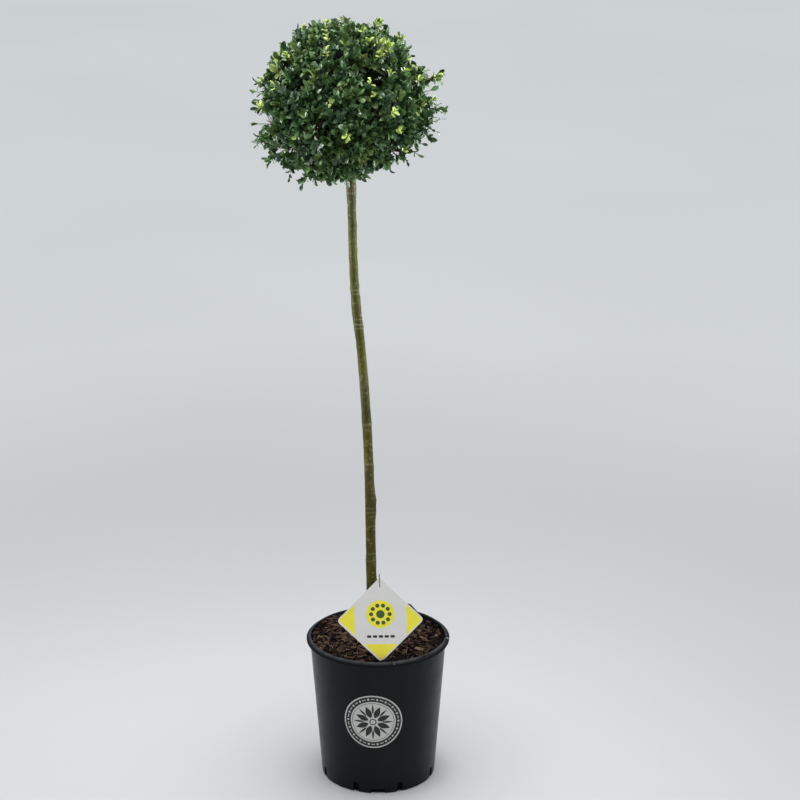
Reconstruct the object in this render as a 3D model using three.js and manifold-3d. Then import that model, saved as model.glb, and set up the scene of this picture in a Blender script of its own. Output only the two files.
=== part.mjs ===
// A standard ("lollipop") small-leaved holly in its nursery pot.
// One bare stem rises from the potting mix and ends in the head, a clipped ball of foliage that a few
// long shoots have outgrown. A card label on a thin stick stands in the mix, in front of the stem.
//
// Millimetres, +Z up. The origin is the centre of the pot's underside, and -Y is the front.
import * as THREE from "three";
import { mergeVertices } from "three/addons/utils/BufferGeometryUtils.js";
import Module from "manifold-3d";

const wasm = await Module();
wasm.setup();

// ---------------------------------------------------------------- driving dimensions

const GAP = 0.3; // clearance between pieces that touch on the real plant

const POT_HEIGHT = 249.8; // to the crest of the lip
const POT_RIM_RADIUS = 120; // outside of the lip
const POT_CREST_RADIUS = 114.6; // outside of the wall, at the crest of the lip
const POT_FOOT_RADIUS = 95.6;
const POT_WALL = 1.8;
const POT_SEGMENTS = 64;

// The lip slopes outwards and down from its crest, and its edge is turned down.
const LIP_SHOULDER_HEIGHT = 245.6;
const LIP_FOOT_HEIGHT = 242;
const LIP_ROUNDING = 0.9;

const FLOOR_THICKNESS = 2.6;
const FOOT_ROUNDING = 3;

const DRAIN_DEPTH = 7; // how far each drain runs in under the foot
const SLOT_WIDTH = 9.3;
const SLOT_HEIGHT = 18.5;
const SLOT_COUNT = 8;
const NOTCH_WIDTH = 24.5;
const NOTCH_HEIGHT = 8.5;
const NOTCH_COUNT = 4;

const SOIL_LEVEL = 242.5;
const SOIL_RELIEF = 1.6; // height of the lumps on the surface
const SOIL_SEAT_RADIUS = 17; // level patch round the foot of the stem
const SOIL_SEGMENTS = 44;
const SOIL_RINGS = 6;

const HEAD_CENTRE = new THREE.Vector3(-43, 0, 1153);
const HEAD_WIDTH_RADIUS = 139;
const HEAD_HEIGHT_RADIUS = 127;
const HEAD_RELIEF = 3;
const HEAD_DETAIL = 10;

const STEM_FORK_HEIGHT = 1072; // the top of the stem, hidden in the head
const STEM_FOOT_RADIUS = 9;
const STEM_FORK_RADIUS = 6.6;
const STEM_FLARE = 4.5; // extra radius where the roots begin
const STEM_FLARE_HEIGHT = 16;
const STEM_SIDES = 12;
const STEM_RINGS = 54;

const CARD_SIDE = 101.4;
const CARD_CORNER_RADIUS = 7;
const CARD_THICKNESS = 0.8;
const CARD_FOOT = new THREE.Vector3(6.4, -101, SOIL_LEVEL + 1.6); // its lowest corner
const CARD_LEAN = THREE.MathUtils.degToRad(8); // back, away from the front
const CARD_ROLL = THREE.MathUtils.degToRad(1.2); // to the left, seen from the front

const STICK_RADIUS = 1;
const STICK_SPAN = [-46, 150]; // along the card, from its lowest corner
const STICK_STAND_OFF = CARD_THICKNESS / 2 + STICK_RADIUS + GAP;
const THREAD_HEIGHT = 132.5; // where the stick passes through the card
const THREAD_HALF_LENGTH = 4;

// The line of the stem from foot to fork: it stands almost upright, sways to the left, and straightens.
const STEM_LINE = new THREE.CatmullRomCurve3([
  new THREE.Vector3(-9.4, 0, SOIL_LEVEL + GAP),
  new THREE.Vector3(-11.6, 2, 420),
  new THREE.Vector3(-14.6, -1, 570),
  new THREE.Vector3(-24.4, 1, 735),
  new THREE.Vector3(-35.6, 3, 855),
  new THREE.Vector3(-39.6, 1, 1000),
  new THREE.Vector3(-41, 0, STEM_FORK_HEIGHT),
]);

// Swellings of the stem: ring scars go all the way round, and knots stand on the side that is given.
const STEM_SWELLINGS = [
  { height: 487, side: 0, swell: 2.6, reach: 16 },
  { height: 466, side: 20, swell: 1.6, reach: 8 },
  { height: 623, swell: 0.7, reach: 9 },
  { height: 806, side: 150, swell: 1.6, reach: 20 },
  { height: 832, swell: 0.6, reach: 12 },
  { height: 372, side: 200, swell: 1.2, reach: 10 },
  { height: 1022, swell: 1.3, reach: 26 },
];

// Shoulders and hollows of the head, by direction from its centre: how far each rises, how far it spreads
// up and down, and how far it sweeps round, in degrees.
const HEAD_SHOULDERS = [
  { azimuth: 0, elevation: 31, rise: -24, spread: 8, sweep: 55 },
  { azimuth: -69, elevation: 32, rise: -13, spread: 9, sweep: 9 },
  { azimuth: -131, elevation: 22, rise: -7, spread: 7, sweep: 7 },
  { azimuth: 160, elevation: 58, rise: 7, spread: 14, sweep: 40 },
  { azimuth: 180, elevation: 22, rise: 5, spread: 26, sweep: 60 },
  { azimuth: 180, elevation: -34, rise: 14, spread: 20, sweep: 40 },
  { azimuth: 0, elevation: -14, rise: 6, spread: 12, sweep: 50 },
  { azimuth: 0, elevation: 15, rise: 5, spread: 8, sweep: 40 },
  { azimuth: 0, elevation: -55, rise: -18, spread: 24, sweep: 70 },
  { azimuth: 95, elevation: 12, rise: 6, spread: 20, sweep: 30 },
];

// Shoots that have outgrown the clipped ball: direction, how far the tip reaches, how thick they are.
const LONG_SHOOTS = [
  { name: "shoot_top", azimuth: 0, elevation: 69, reach: 147, width: 32 },
  { name: "shoot_right_high", azimuth: -6, elevation: 18, reach: 158, width: 40 },
  { name: "shoot_right_middle", azimuth: 6, elevation: -5, reach: 158, width: 26 },
  { name: "shoot_right_low", azimuth: -4, elevation: -23, reach: 149, width: 28 },
  { name: "shoot_left_high", azimuth: 176, elevation: -1, reach: 155, width: 32 },
  { name: "shoot_left_middle", azimuth: 172, elevation: -23, reach: 164, width: 28 },
  { name: "shoot_left_low", azimuth: 188, elevation: -34, reach: 163, width: 28 },
  { name: "shoot_left_foot", azimuth: 178, elevation: -58, reach: 156, width: 32 },
  { name: "shoot_back_high", azimuth: 82, elevation: 30, reach: 156, width: 34 },
  { name: "shoot_back_left", azimuth: 128, elevation: -12, reach: 158, width: 28 },
  { name: "shoot_back_right", azimuth: 52, elevation: -22, reach: 155, width: 30 },
];
const SHOOT_LENGTH = 64; // from inside the ball to the tip
const SHOOT_DETAIL = 3;

// ---------------------------------------------------------------- finishes

const finish = (color, roughness) => new THREE.MeshStandardMaterial({ color, roughness, metalness: 0 });

const BLACK_PLASTIC = finish(0x202124, 0.45);
const POTTING_MIX = finish(0x33251d, 0.95);
const BARK = finish(0x5a5a32, 0.85);
const FOLIAGE = finish(0x2e3e25, 0.55);
const YOUNG_FOLIAGE = finish(0x4f6a2c, 0.55);
const CARD_PLASTIC = finish(0xd8d6cf, 0.4);
const STICK_WOOD = finish(0x8d8f72, 0.7);

// ---------------------------------------------------------------- helpers

// A closed geometry as a solid that can be cut and joined.
function toSolid(geometry) {
  const bare = new THREE.BufferGeometry();
  const flat = geometry.index ? geometry.toNonIndexed() : geometry;
  bare.setAttribute("position", flat.getAttribute("position"));
  const merged = mergeVertices(bare, 1e-3);
  const vertProperties = merged.attributes.position.array;
  const triVerts = new Uint32Array(merged.index.array);
  return new wasm.Manifold(new wasm.Mesh({ numProp: 3, vertProperties, triVerts }));
}

function toGeometry(solid) {
  const { vertProperties, triVerts } = solid.getMesh();
  const geometry = new THREE.BufferGeometry();
  geometry.setAttribute("position", new THREE.BufferAttribute(vertProperties, 3));
  geometry.setIndex(new THREE.BufferAttribute(triVerts, 1));
  geometry.computeVertexNormals();
  return geometry;
}

function named(name, geometry, material) {
  const mesh = new THREE.Mesh(geometry, material);
  mesh.name = name;
  return mesh;
}

// Moves each vertex of a geometry to where place(vertex) puts it.
function reshape(geometry, place) {
  const positions = geometry.getAttribute("position");
  const vertex = new THREE.Vector3();
  for (let i = 0; i < positions.count; i++) {
    vertex.fromBufferAttribute(positions, i);
    place(vertex);
    positions.setXYZ(i, vertex.x, vertex.y, vertex.z);
  }
  return geometry;
}

// Turns a profile of (radius, height) points about the upright axis.
function turned(profile, segments) {
  return new THREE.LatheGeometry(profile, segments).rotateX(Math.PI / 2);
}

function direction(azimuth, elevation) {
  const upright = THREE.MathUtils.degToRad(elevation);
  const round = THREE.MathUtils.degToRad(azimuth);
  return new THREE.Vector3(
    Math.cos(upright) * Math.cos(round),
    Math.cos(upright) * Math.sin(round),
    Math.sin(upright),
  );
}

// Bell-shaped falloff: 1 at the middle, near 0 past two widths.
const bell = (distance, width) => Math.exp(-((distance / width) ** 2));

// Smooth lumps between about -1 and 1, from waves that run in different directions.
function lumps(point, wavelength, phase) {
  const k = (2 * Math.PI) / wavelength;
  return (
    (Math.sin(k * (point.x + 0.7 * point.y) + phase) +
      Math.sin(k * (0.9 * point.y - 0.8 * point.z) + 2.1 * phase) +
      Math.sin(k * (0.6 * point.x + 1.1 * point.z) + 3.7 * phase)) /
    3
  );
}

// ---------------------------------------------------------------- pot

// Outside radius of the wall at a height.
const wallRadius = (height) =>
  THREE.MathUtils.lerp(POT_FOOT_RADIUS, POT_CREST_RADIUS, height / POT_HEIGHT);

// Points of a quarter of a circle, both ends included.
function quarterRound(centre, radius, startAngle, steps = 2) {
  return Array.from({ length: steps + 1 }, (_, i) => {
    const angle = startAngle + (i / steps) * (Math.PI / 2);
    return new THREE.Vector2(
      centre.x + radius * Math.cos(angle),
      centre.y + radius * Math.sin(angle),
    );
  });
}

function potProfile() {
  const point = (radius, height) => new THREE.Vector2(radius, height);
  const lipUnder = POT_HEIGHT - 1.5 * POT_WALL;
  const shoulder = LIP_SHOULDER_HEIGHT - LIP_ROUNDING;
  const crest = point(POT_CREST_RADIUS - LIP_ROUNDING, POT_HEIGHT - LIP_ROUNDING);
  return [
    point(0, 0),
    ...quarterRound(point(POT_FOOT_RADIUS - FOOT_ROUNDING, FOOT_ROUNDING), FOOT_ROUNDING, -Math.PI / 2),
    point(wallRadius(lipUnder), lipUnder),
    point(POT_RIM_RADIUS - POT_WALL, shoulder),
    point(POT_RIM_RADIUS - POT_WALL, LIP_FOOT_HEIGHT),
    point(POT_RIM_RADIUS, LIP_FOOT_HEIGHT),
    point(POT_RIM_RADIUS, shoulder),
    point(POT_RIM_RADIUS - LIP_ROUNDING, LIP_SHOULDER_HEIGHT),
    ...quarterRound(crest, LIP_ROUNDING, Math.PI / 4),
    point(wallRadius(FLOOR_THICKNESS) - POT_WALL, FLOOR_THICKNESS),
    point(0, FLOOR_THICKNESS),
  ];
}

// A block that cuts one drain through the foot of the wall, at an angle round from the front.
function drainCutter(width, height, angle) {
  const overrun = 12;
  const block = new THREE.BoxGeometry(width, DRAIN_DEPTH + overrun, height + overrun);
  block.translate(0, -(POT_FOOT_RADIUS - DRAIN_DEPTH + (DRAIN_DEPTH + overrun) / 2), (height - overrun) / 2);
  return toSolid(block.rotateZ(angle));
}

// The moulded ear that stands on the back of the rim: a piece of the wall that rises above its crest.
function rimEar() {
  const baseHalf = 31;
  const topHalf = 18;
  const rise = 10.5;
  const sunk = 3;
  const azimuth = THREE.MathUtils.degToRad(70);
  const outline = new THREE.Shape([
    new THREE.Vector2(-baseHalf, -sunk),
    new THREE.Vector2(baseHalf, -sunk),
    new THREE.Vector2(baseHalf, 0),
    new THREE.Vector2(topHalf, rise),
    new THREE.Vector2(-topHalf, rise),
    new THREE.Vector2(-baseHalf, 0),
  ]);
  const wedge = new THREE.ExtrudeGeometry(outline, { depth: POT_CREST_RADIUS, bevelEnabled: false });
  wedge.rotateX(Math.PI / 2).rotateZ(Math.PI / 2).translate(0, 0, POT_HEIGHT);
  const inside = POT_CREST_RADIUS - POT_WALL;
  const band = turned([
    new THREE.Vector2(inside, POT_HEIGHT - sunk),
    new THREE.Vector2(POT_CREST_RADIUS, POT_HEIGHT - sunk),
    new THREE.Vector2(POT_CREST_RADIUS, POT_HEIGHT + rise),
    new THREE.Vector2(inside, POT_HEIGHT + rise),
    new THREE.Vector2(inside, POT_HEIGHT - sunk),
  ], POT_SEGMENTS);
  return toSolid(band).intersect(toSolid(wedge.rotateZ(azimuth)));
}

// The nick in the lip's sloping face, at the right. The turned-down edge outside it is whole.
function lipNick() {
  const width = 9;
  const depth = 6;
  const inner = POT_CREST_RADIUS - 3;
  const outer = POT_RIM_RADIUS - 1.4;
  const block = new THREE.BoxGeometry(outer - inner, width, 2 * depth);
  block.translate((inner + outer) / 2, 0, POT_HEIGHT);
  return toSolid(block.rotateZ(THREE.MathUtils.degToRad(-5)));
}

function pot() {
  let solid = toSolid(turned(potProfile(), POT_SEGMENTS)).add(rimEar()).subtract(lipNick());
  for (let i = 0; i < SLOT_COUNT; i++) {
    const angle = ((i + 0.5) * 2 * Math.PI) / SLOT_COUNT;
    solid = solid.subtract(drainCutter(SLOT_WIDTH, SLOT_HEIGHT, angle));
  }
  for (let i = 0; i < NOTCH_COUNT; i++) {
    const angle = (i * 2 * Math.PI) / NOTCH_COUNT;
    solid = solid.subtract(drainCutter(NOTCH_WIDTH, NOTCH_HEIGHT, angle));
  }
  return named("pot", toGeometry(solid), BLACK_PLASTIC);
}

// ---------------------------------------------------------------- stem

const stemRange = STEM_FORK_HEIGHT - SOIL_LEVEL - GAP;

// The centre of the stem at a height, found on its line by halving.
function stemCentre(height) {
  let low = 0;
  let high = 1;
  const found = new THREE.Vector3();
  for (let i = 0; i < 30; i++) {
    const middle = (low + high) / 2;
    STEM_LINE.getPoint(middle, found);
    if (found.z < height) low = middle;
    else high = middle;
  }
  return found;
}

function stemRadius(height, angle) {
  const along = (height - SOIL_LEVEL) / stemRange;
  let radius = THREE.MathUtils.lerp(STEM_FOOT_RADIUS, STEM_FORK_RADIUS, along ** 0.7);
  const buttress = 1 + 0.25 * Math.sin(5 * angle);
  radius += STEM_FLARE * Math.exp(-(height - SOIL_LEVEL) / STEM_FLARE_HEIGHT) * buttress;
  for (const { height: at, side, swell, reach } of STEM_SWELLINGS) {
    const turned = side === undefined ? 0 : angle - THREE.MathUtils.degToRad(side);
    radius += swell * Math.max(0, Math.cos(turned)) ** 2 * bell(height - at, reach);
  }
  return radius;
}

// The stem as level slices, each grown by extra. Only its tip is rounded.
function stemGeometry(extra = 0) {
  const tip = 10;
  const slices = new THREE.CylinderGeometry(1, 1, 1, STEM_SIDES, STEM_RINGS);
  const bottom = SOIL_LEVEL + GAP - extra;
  const top = STEM_FORK_HEIGHT + extra;
  return reshape(slices.rotateX(Math.PI / 2), (vertex) => {
    const height = THREE.MathUtils.lerp(bottom, top, vertex.z + 0.5);
    const angle = Math.atan2(vertex.y, vertex.x);
    const rounding = Math.min(1, 0.6 + (0.4 * (top - height)) / tip);
    const radius = (stemRadius(height, angle) * rounding + extra) * Math.hypot(vertex.x, vertex.y);
    const centre = stemCentre(height);
    vertex.set(centre.x + radius * Math.cos(angle), centre.y + radius * Math.sin(angle), height);
  });
}

// ---------------------------------------------------------------- head

function headRadius(towards) {
  const level = Math.hypot(towards.x, towards.y);
  const towardsElevation = THREE.MathUtils.radToDeg(Math.asin(towards.z));
  const towardsAzimuth = THREE.MathUtils.radToDeg(Math.atan2(towards.y, towards.x));
  let radius = 1 / Math.hypot(level / HEAD_WIDTH_RADIUS, towards.z / HEAD_HEIGHT_RADIUS);
  for (const { azimuth, elevation, rise, spread, sweep } of HEAD_SHOULDERS) {
    const turn = THREE.MathUtils.euclideanModulo(towardsAzimuth - azimuth + 180, 360) - 180;
    radius += rise * bell(towardsElevation - elevation, spread) * bell(turn * level, sweep);
  }
  return radius + HEAD_RELIEF * (lumps(towards, 0.7, 1.3) + 0.6 * lumps(towards, 0.37, 4.4));
}

// The clipped ball, grown by extra.
function ballSolid(extra = 0) {
  const ball = reshape(new THREE.IcosahedronGeometry(1, HEAD_DETAIL), (vertex) => {
    vertex.normalize();
    vertex.multiplyScalar(headRadius(vertex) + extra).add(HEAD_CENTRE);
  });
  return toSolid(ball);
}

function head() {
  const solid = ballSolid().subtract(toSolid(stemGeometry(GAP)));
  return named("head", toGeometry(solid), FOLIAGE);
}

// One long shoot: a tapering, lumpy lobe whose root is cut to sit on the ball.
function longShoot({ name, azimuth, elevation, reach, width }, groundBall) {
  const towards = direction(azimuth, elevation);
  const turn = new THREE.Quaternion().setFromUnitVectors(new THREE.Vector3(0, 0, 1), towards);
  const half = SHOOT_LENGTH / 2;
  const lobe = reshape(new THREE.IcosahedronGeometry(1, SHOOT_DETAIL), (vertex) => {
    const taper = 1 - 0.3 * vertex.z;
    const across = (width / 2) * taper * (1 + 0.12 * lumps(vertex, 1.1, azimuth));
    vertex.set(vertex.x * across, vertex.y * across, vertex.z * half);
    vertex.z += reach - half;
    vertex.applyQuaternion(turn).add(HEAD_CENTRE);
  });
  return named(name, toGeometry(toSolid(lobe).subtract(groundBall)), YOUNG_FOLIAGE);
}

function longShoots() {
  const grownBall = ballSolid(GAP);
  return LONG_SHOOTS.map((shoot) => longShoot(shoot, grownBall));
}

// ---------------------------------------------------------------- card label

const cardHalfDiagonal = CARD_SIDE / Math.SQRT2;

// A square standing on its corner, its corners rounded, with the slot that the stick is threaded through.
function cardOutline() {
  const corners = [0, 1, 2, 3].map((i) => {
    const angle = -Math.PI / 2 + (i * Math.PI) / 2;
    return new THREE.Vector2(Math.cos(angle), Math.sin(angle))
      .multiplyScalar(cardHalfDiagonal)
      .add(new THREE.Vector2(0, cardHalfDiagonal));
  });
  const outline = new THREE.Shape();
  corners.forEach((corner, i) => {
    const towards = (other) => corner.clone().lerp(other, CARD_CORNER_RADIUS / CARD_SIDE);
    const start = towards(corners[(i + 3) % 4]);
    const end = towards(corners[(i + 1) % 4]);
    if (i === 0) outline.moveTo(start.x, start.y);
    else outline.lineTo(start.x, start.y);
    outline.quadraticCurveTo(corner.x, corner.y, end.x, end.y);
  });
  const slotRadius = STICK_RADIUS + 2 * GAP;
  const slot = new THREE.Path();
  slot.absarc(0, THREAD_HEIGHT + THREAD_HALF_LENGTH, slotRadius, 0, Math.PI);
  slot.absarc(0, THREAD_HEIGHT - THREAD_HALF_LENGTH, slotRadius, Math.PI, 2 * Math.PI);
  outline.holes.push(slot);
  return outline;
}

function card() {
  const sheet = new THREE.ExtrudeGeometry(cardOutline(), {
    depth: CARD_THICKNESS,
    bevelEnabled: false,
    curveSegments: 4,
  });
  return sheet.translate(0, 0, -CARD_THICKNESS / 2);
}

// A thin stick that stands behind the card, comes forward through its slot and ends above its top corner.
function stick(radius = STICK_RADIUS) {
  const behind = -STICK_STAND_OFF;
  const line = new THREE.CatmullRomCurve3([
    new THREE.Vector3(0, STICK_SPAN[0], behind),
    new THREE.Vector3(0, 30, behind),
    new THREE.Vector3(0, 80, behind),
    new THREE.Vector3(0, THREAD_HEIGHT - THREAD_HALF_LENGTH, behind),
    new THREE.Vector3(0, THREAD_HEIGHT + THREAD_HALF_LENGTH, -behind),
    new THREE.Vector3(0, STICK_SPAN[1], -behind),
  ]);
  const section = new THREE.Shape().absarc(0, 0, radius, 0, 2 * Math.PI);
  return new THREE.ExtrudeGeometry(section, { extrudePath: line, steps: 36, curveSegments: 4 });
}

// Turns what is drawn flat on the card so that it stands in the pot.
const labelPose = new THREE.Matrix4()
  .makeTranslation(CARD_FOOT)
  .multiply(new THREE.Matrix4().makeRotationX(Math.PI / 2 - CARD_LEAN))
  .multiply(new THREE.Matrix4().makeRotationZ(CARD_ROLL));

function label() {
  const group = new THREE.Group();
  group.applyMatrix4(labelPose);
  group.add(named("label_card", card(), CARD_PLASTIC));
  group.add(named("label_stick", stick(), STICK_WOOD));
  return group;
}

// ---------------------------------------------------------------- potting mix

function soil() {
  const floor = FLOOR_THICKNESS + GAP;
  const edge = (height) => wallRadius(height) - POT_WALL - GAP;
  const surface = Array.from({ length: SOIL_RINGS + 1 }, (_, i) => {
    const radius = edge(SOIL_LEVEL) * (1 - i / SOIL_RINGS);
    return new THREE.Vector2(radius, SOIL_LEVEL);
  });
  const foot = stemCentre(SOIL_LEVEL);
  const underside = [new THREE.Vector2(0, floor), new THREE.Vector2(edge(floor), floor)];
  const plug = turned([...underside, ...surface], SOIL_SEGMENTS);
  reshape(plug, (vertex) => {
    if (vertex.z < SOIL_LEVEL - 1) return;
    const fromStem = Math.hypot(vertex.x - foot.x, vertex.y - foot.y);
    const fromWall = edge(SOIL_LEVEL) - Math.hypot(vertex.x, vertex.y);
    const loose = THREE.MathUtils.smoothstep(fromStem, SOIL_SEAT_RADIUS, SOIL_SEAT_RADIUS + 12);
    const free = THREE.MathUtils.smoothstep(fromWall, 0, 12);
    vertex.z += loose * free * SOIL_RELIEF * (lumps(vertex, 64, 0.6) + 0.5 * lumps(vertex, 31, 2.2));
  });
  const stickHole = toSolid(stick(STICK_RADIUS + GAP).applyMatrix4(labelPose));
  return named("potting_mix", toGeometry(toSolid(plug).subtract(stickHole)), POTTING_MIX);
}

// ---------------------------------------------------------------- the whole plant

const plant = new THREE.Group();
plant.add(pot());
plant.add(soil());
plant.add(named("stem", stemGeometry(), BARK));
plant.add(head());
plant.add(...longShoots());
plant.add(label());

export default plant;
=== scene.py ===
"""The looks of a standard ("lollipop") small-leaved holly in its nursery pot.

Metres, +Z up, in the frame of the CAD model: the origin is the middle of the pot's underside, and -Y is
the front. The head is grown here, from boughs to leaves, inside the shape of its CAD solids.
"""

import math

import bmesh
import bpy
import numpy as np
from mathutils import Matrix, Vector, noise
from mathutils.bvhtree import BVHTree


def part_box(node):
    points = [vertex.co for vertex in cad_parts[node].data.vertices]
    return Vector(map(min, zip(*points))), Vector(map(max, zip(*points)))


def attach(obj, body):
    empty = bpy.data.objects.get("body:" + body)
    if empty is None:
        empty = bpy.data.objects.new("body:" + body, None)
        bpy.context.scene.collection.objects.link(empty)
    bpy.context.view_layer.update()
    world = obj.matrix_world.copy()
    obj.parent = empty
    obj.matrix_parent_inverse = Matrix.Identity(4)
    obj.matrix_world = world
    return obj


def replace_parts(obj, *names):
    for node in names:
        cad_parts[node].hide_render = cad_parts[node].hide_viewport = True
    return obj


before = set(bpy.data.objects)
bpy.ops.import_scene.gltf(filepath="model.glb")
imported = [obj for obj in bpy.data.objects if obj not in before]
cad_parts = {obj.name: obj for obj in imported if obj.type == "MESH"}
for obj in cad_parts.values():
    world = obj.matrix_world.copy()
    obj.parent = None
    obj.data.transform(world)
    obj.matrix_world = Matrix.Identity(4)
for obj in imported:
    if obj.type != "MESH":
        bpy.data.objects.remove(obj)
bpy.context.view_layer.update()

MM = 0.001
FULL_TURN = 2 * math.pi
UP = np.array((0.0, 0.0, 1.0))
CAMERA_PLACE = (0.037, -3.74, 1.935)
HEAD_SEED, STEM_SEED, MIX_SEED = 11, 5, 21

# ---------------- vectors and angles


def unit(vectors):
    vectors = np.asarray(vectors, float)
    return vectors / np.maximum(np.linalg.norm(vectors, axis=-1, keepdims=True), 1e-12)


def heading(azimuth, elevation):
    """The unit vector of an azimuth and elevation in degrees: azimuth 0 is +X and 90 is +Y."""
    round_, up = math.radians(azimuth), math.radians(elevation)
    return np.array((math.cos(up) * math.cos(round_), math.cos(up) * math.sin(round_), math.sin(up)))


def aimed(*rows):
    """Rows of numbers, with the azimuth and elevation that each one starts with made one direction."""
    return [(heading(azimuth, elevation), *rest) for azimuth, elevation, *rest in rows]


def angle_between(vectors, towards):
    """Angles in degrees from each of the unit vectors to one unit vector."""
    return np.degrees(np.arccos(np.clip(np.asarray(vectors) @ towards, -1, 1)))


def square_axes(forward, hint):
    """Two unit vectors square to forward and to each other, the first as near to hint as it can be."""
    side = unit(hint - (hint @ forward) * forward)
    return side, np.cross(forward, side)


def around(count):
    """Angles spread evenly over a full turn."""
    return np.arange(count) * FULL_TURN / count


def circle(radius, turns):
    """The points (x, y) of a circle at each angle."""
    return np.stack((radius * np.cos(turns), radius * np.sin(turns)), -1)


def raised(points, height):
    """Points (x, y) with one height for all, or one for each."""
    return np.concatenate((points, np.broadcast_to(height, points.shape[:-1])[..., None]), -1)


def smooth_step(value, low, high):
    t = np.clip((value - low) / (high - low), 0, 1)
    return t * t * (3 - 2 * t)


def lumps(points, scale, seed):
    """Smooth noise from about -1 to 1 at each point, with features of about 1 / scale."""
    offset = Vector((seed * 7.31, seed * 3.77, seed * 5.13))
    return np.array([noise.noise(Vector(p) * scale + offset) for p in points])


def bezier(start, bend, end, steps):
    t = np.linspace(0, 1, steps)[:, None]
    return (1 - t) ** 2 * start + 2 * t * (1 - t) * bend + t**2 * end


# ---------------- meshes

PRINT_EDGE = math.radians(30)  # edges of thin prints that turn by more than this stay crisp


def new_object(name, data):
    thing = bpy.data.objects.new(name, data)
    bpy.context.scene.collection.objects.link(thing)
    return thing


def new_piece(name, vertices, faces, material, slot=None, smooth=True):
    """A mesh object from arrays of vertices and faces. It rides on the plant if it has a slot."""
    mesh = bpy.data.meshes.new(name)
    mesh.from_pydata(np.asarray(vertices, float), [], faces)
    mesh.update()
    mesh.polygons.foreach_set("use_smooth", np.full(len(mesh.polygons), smooth))
    mesh.materials.append(material)
    piece = new_object(name, mesh)
    if slot:
        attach(piece, "root")
    return piece


class Heap:
    """Many small shapes that become one mesh."""

    def __init__(self):
        self.vertices, self.faces, self.count = [], [], 0

    def add(self, vertices, faces):
        self.vertices.append(np.asarray(vertices, float))
        self.faces.append(np.asarray(faces) + self.count)
        self.count += len(vertices)

    def add_copies(self, template, places, axes):
        """Adds one copy of a template for each place. axes are 3x3, with the template's axes as rows."""
        if not len(places):
            return
        vertices, faces = template
        points = np.einsum("vj,njk->nvk", vertices, np.asarray(axes)) + np.asarray(places)[:, None]
        steps = np.arange(len(places))[:, None, None] * len(vertices)
        self.add(points.reshape(-1, 3), (faces[None] + steps).reshape(-1, faces.shape[1]))

    def arrays(self):
        return np.concatenate(self.vertices), [face for block in self.faces for face in block.tolist()]

    def piece(self, name, material, slot, smooth=True):
        return new_piece(name, *self.arrays(), material, slot, smooth)


class Print(Heap):
    """Thin closed slabs on a surface, between two lifts from it. place(u, v, lift) gives its points."""

    def __init__(self, place, bottom, top):
        super().__init__()
        self.place, self.bottom, self.top = place, bottom, top

    def add_slab(self, grid, closed=False):
        """Adds a slab over a grid of (u, v) points, whose rows may close on themselves."""
        grid = np.asarray(grid)
        rows, columns = grid.shape[:2]
        flat = grid.reshape(-1, 2)
        vertices = [self.place(u, v, lift) for lift in (self.top, self.bottom) for u, v in flat]
        under = rows * columns
        at = np.arange(under).reshape(rows, columns)
        if closed:
            at = np.column_stack((at, at[:, 0]))
        quads = np.stack((at[:-1, :-1], at[:-1, 1:], at[1:, 1:], at[1:, :-1]), -1).reshape(-1, 4)
        edges = [(at[0, 1:], at[0, :-1]), (at[-1, :-1], at[-1, 1:])]
        if not closed:
            edges += [(at[:-1, 0], at[1:, 0]), (at[1:, -1], at[:-1, -1])]
        sides = [np.stack((b, a, under + a, under + b), -1) for a, b in edges]
        self.add(vertices, np.concatenate((quads, under + quads[:, ::-1], *sides)))

    def add_ring(self, inner, outer, rows=3, columns=128, centre=(0, 0)):
        self.add_slab(ring_grid(inner, outer, rows, columns, centre), closed=True)

    def print_piece(self, name, material, slot):
        self.piece(name, material, slot).data.set_sharp_from_angle(angle=PRINT_EDGE)


def ring_grid(inner, outer, rows, columns, centre=(0, 0), first=0, last=FULL_TURN):
    """A ring, or the part of one between two angles, about a centre."""
    turns = np.linspace(first, last, columns, endpoint=last - first < FULL_TURN)
    return [centre + circle(radius, turns) for radius in np.linspace(inner, outer, rows)]


def ring_faces(rings, sides):
    """The quads between rings of points, each ring closed on itself."""
    ring, side = np.meshgrid(np.arange(rings - 1), np.arange(sides), indexing="ij")
    following = (side + 1) % sides
    corners = (ring * sides + side, ring * sides + following)
    return np.stack((*corners, corners[1] + sides, corners[0] + sides), -1).reshape(-1, 4)


def closed_faces(rings, sides):
    """The faces of a stack of rings, with both of its ends closed."""
    last = (rings - 1) * sides
    return ring_faces(rings, sides).tolist() + [tuple(range(sides))[::-1], tuple(range(last, last + sides))]


def tube(line, radii, sides):
    """A tube along a line of points, open at its ends."""
    hint = np.array((0.31, 0.17, 0.93))
    angles = around(sides)
    rings = []
    for point, tangent, radius in zip(line, unit(np.gradient(line, axis=0)), radii):
        side, other = square_axes(tangent, hint)
        hint = side
        rings.append(point + radius * (np.cos(angles)[:, None] * side + np.sin(angles)[:, None] * other))
    return np.concatenate(rings), ring_faces(len(line), sides)


# ---------------- materials

STREAKED = (1, 1, 0.12)  # noise drawn out along the height


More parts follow.
